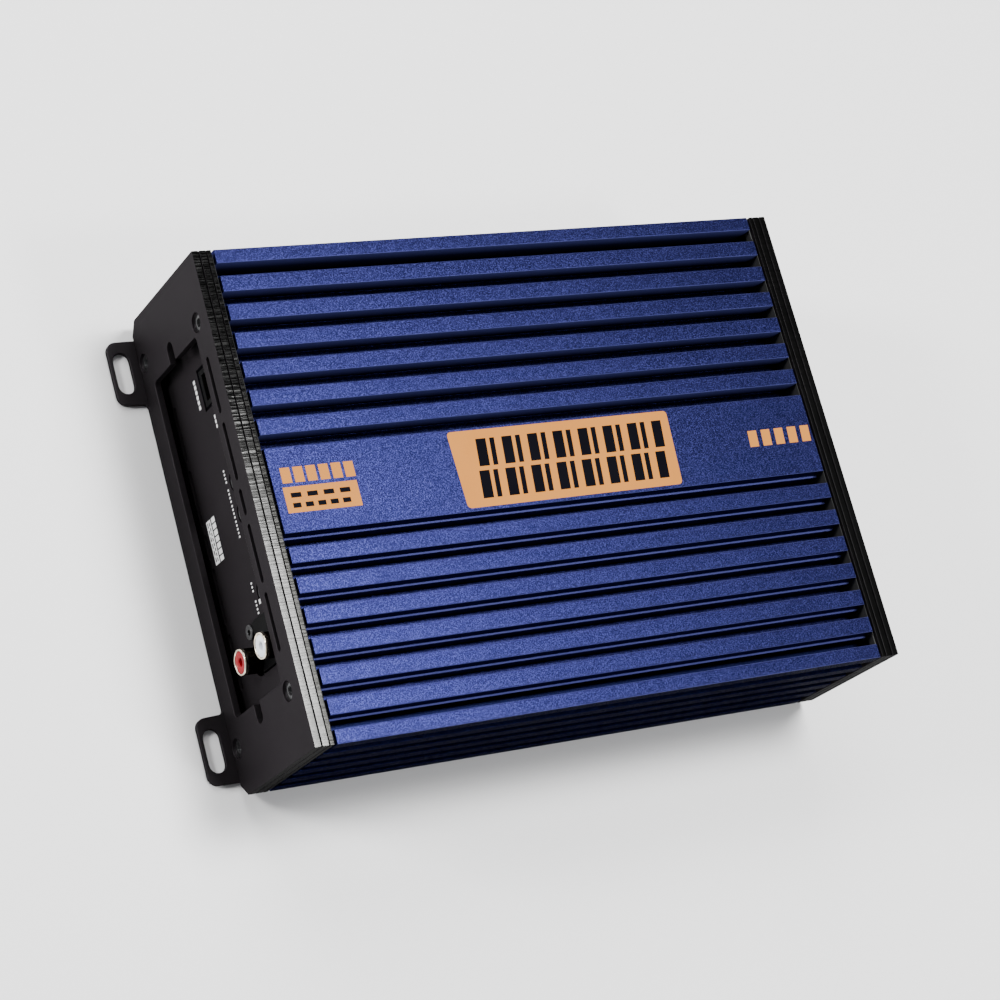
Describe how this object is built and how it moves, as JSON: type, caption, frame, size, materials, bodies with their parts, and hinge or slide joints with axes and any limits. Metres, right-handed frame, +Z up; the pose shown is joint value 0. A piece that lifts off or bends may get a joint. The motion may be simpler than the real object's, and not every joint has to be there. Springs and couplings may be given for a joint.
{
  "type": "car amplifier",
  "caption": "Compact finned car audio amplifier with a recessed control end, a terminal and fuse end, and slotted mounting ears.",
  "frame": {"origin": "on the underside of the base plate, below the middle of the body", "axes": "+X along the fins from the control end to the terminal end; +Y across the body; +Z up"},
  "size_m": [0.229, 0.1552, 0.0577],
  "materials": {
    "heatsink": "blue anodised, satin, fine lengthwise grain",
    "black_plate": "black satin paint",
    "black_plastic": "moulded, satin",
    "grey_plastic": "moulded, satin",
    "white_plastic": "moulded, semi-gloss",
    "red_plastic": "moulded, semi-gloss",
    "steel_screw": "bright zinc",
    "nickel": "polished nickel plate",
    "board": "green circuit board",
    "gasket": "matt",
    "lamp_green": "clear moulded lens",
    "lamp_red": "clear moulded lens",
    "fuse": "translucent moulded body",
    "sleeve": "shrink sleeve",
    "copper": "enamelled copper winding",
    "plain_aluminium": "mill finish"
  },
  "bodies": {
    "chassis": {"heatsink": "heatsink", "base_plate": "black_plate", "left_face_plate": "black_plate", "left_spacer_frame": "black_plate", "control_panel": "black_plate", "right_face_plate": "black_plate", "right_spacer_frame": "black_plate", "terminal_panel": "black_plate", "rca_rivet": "black_plate", "rca_housing": "black_plastic", "remote_socket": "black_plastic", "power_terminal": "black_plastic", "speaker_terminal": "black_plastic", "fuse_holder": "black_plastic", "front_transistor_1": "black_plastic", "front_transistor_2": "black_plastic", "back_transistor_1": "black_plastic", "back_transistor_2": "black_plastic", "filter_pot_body": "grey_plastic", "boost_pot_body": "grey_plastic", "gain_pot_body": "grey_plastic", "upper_rca_insert": "white_plastic", "lower_rca_insert": "red_plastic", "left_screw_top_front": "steel_screw", "left_screw_top_back": "steel_screw", "left_screw_low_front": "steel_screw", "left_screw_low_back": "steel_screw", "right_screw_top_front": "steel_screw", "right_screw_top_back": "steel_screw", "right_screw_low_front": "steel_screw", "right_screw_low_back": "steel_screw", "base_screw_1": "steel_screw", "base_screw_2": "steel_screw", "base_screw_3": "steel_screw", "base_screw_4": "steel_screw", "upper_rca_shell": "nickel", "lower_rca_shell": "nickel", "main_board": "board", "control_board": "board", "left_gasket": "gasket", "right_gasket": "gasket", "power_led": "lamp_green", "clip_led": "lamp_red", "capacitor_1": "sleeve", "capacitor_2": "sleeve", "capacitor_3": "sleeve", "toroid_transformer": "copper", "output_inductor": "copper", "front_clamp_bar": "plain_aluminium", "back_clamp_bar": "plain_aluminium"},
    "filter_rotor": {"filter_pot_rotor": "white_plastic"},
    "boost_rotor": {"boost_pot_rotor": "white_plastic"},
    "gain_rotor": {"gain_pot_rotor": "white_plastic"},
    "power_clamp_screw_1_body": {"power_clamp_screw_1": "nickel"},
    "power_clamp_screw_2_body": {"power_clamp_screw_2": "nickel"},
    "power_clamp_screw_3_body": {"power_clamp_screw_3": "nickel"},
    "speaker_clamp_screw_1_body": {"speaker_clamp_screw_1": "nickel"},
    "speaker_clamp_screw_2_body": {"speaker_clamp_screw_2": "nickel"},
    "upper_fuse_body": {"upper_fuse": "fuse"},
    "lower_fuse_body": {"lower_fuse": "fuse"}
  },
  "joints": [
    {"name": "filter_turn", "type": "hinge", "parent": "chassis", "child": "filter_rotor", "pos_m": [-0.0997, 0.0111, 0.0378], "axis": [-1, 0, 0], "range_deg": [-150, 150]},
    {"name": "boost_turn", "type": "hinge", "parent": "chassis", "child": "boost_rotor", "pos_m": [-0.0997, 0.001, 0.0378], "axis": [-1, 0, 0], "range_deg": [-150, 150]},
    {"name": "gain_turn", "type": "hinge", "parent": "chassis", "child": "gain_rotor", "pos_m": [-0.0997, -0.024, 0.0378], "axis": [-1, 0, 0], "range_deg": [-150, 150]},
    {"name": "power_clamp_screw_1_turn", "type": "hinge", "parent": "chassis", "child": "power_clamp_screw_1_body", "pos_m": [0.1027, -0.044, 0.0286], "axis": [1, 0, 0], "continuous": true},
    {"name": "power_clamp_screw_2_turn", "type": "hinge", "parent": "chassis", "child": "power_clamp_screw_2_body", "pos_m": [0.1027, -0.033, 0.0286], "axis": [1, 0, 0], "continuous": true},
    {"name": "power_clamp_screw_3_turn", "type": "hinge", "parent": "chassis", "child": "power_clamp_screw_3_body", "pos_m": [0.1027, -0.022, 0.0286], "axis": [1, 0, 0], "continuous": true},
    {"name": "speaker_clamp_screw_1_turn", "type": "hinge", "parent": "chassis", "child": "speaker_clamp_screw_1_body", "pos_m": [0.1027, 0.0305, 0.0286], "axis": [1, 0, 0], "continuous": true},
    {"name": "speaker_clamp_screw_2_turn", "type": "hinge", "parent": "chassis", "child": "speaker_clamp_screw_2_body", "pos_m": [0.1027, 0.0415, 0.0286], "axis": [1, 0, 0], "continuous": true},
    {"name": "upper_fuse_pull", "type": "slide", "parent": "chassis", "child": "upper_fuse_body", "axis": [1, 0, 0], "range_m": [0, 0.022]},
    {"name": "lower_fuse_pull", "type": "slide", "parent": "chassis", "child": "lower_fuse_body", "axis": [1, 0, 0], "range_m": [0, 0.022]}
  ]
}
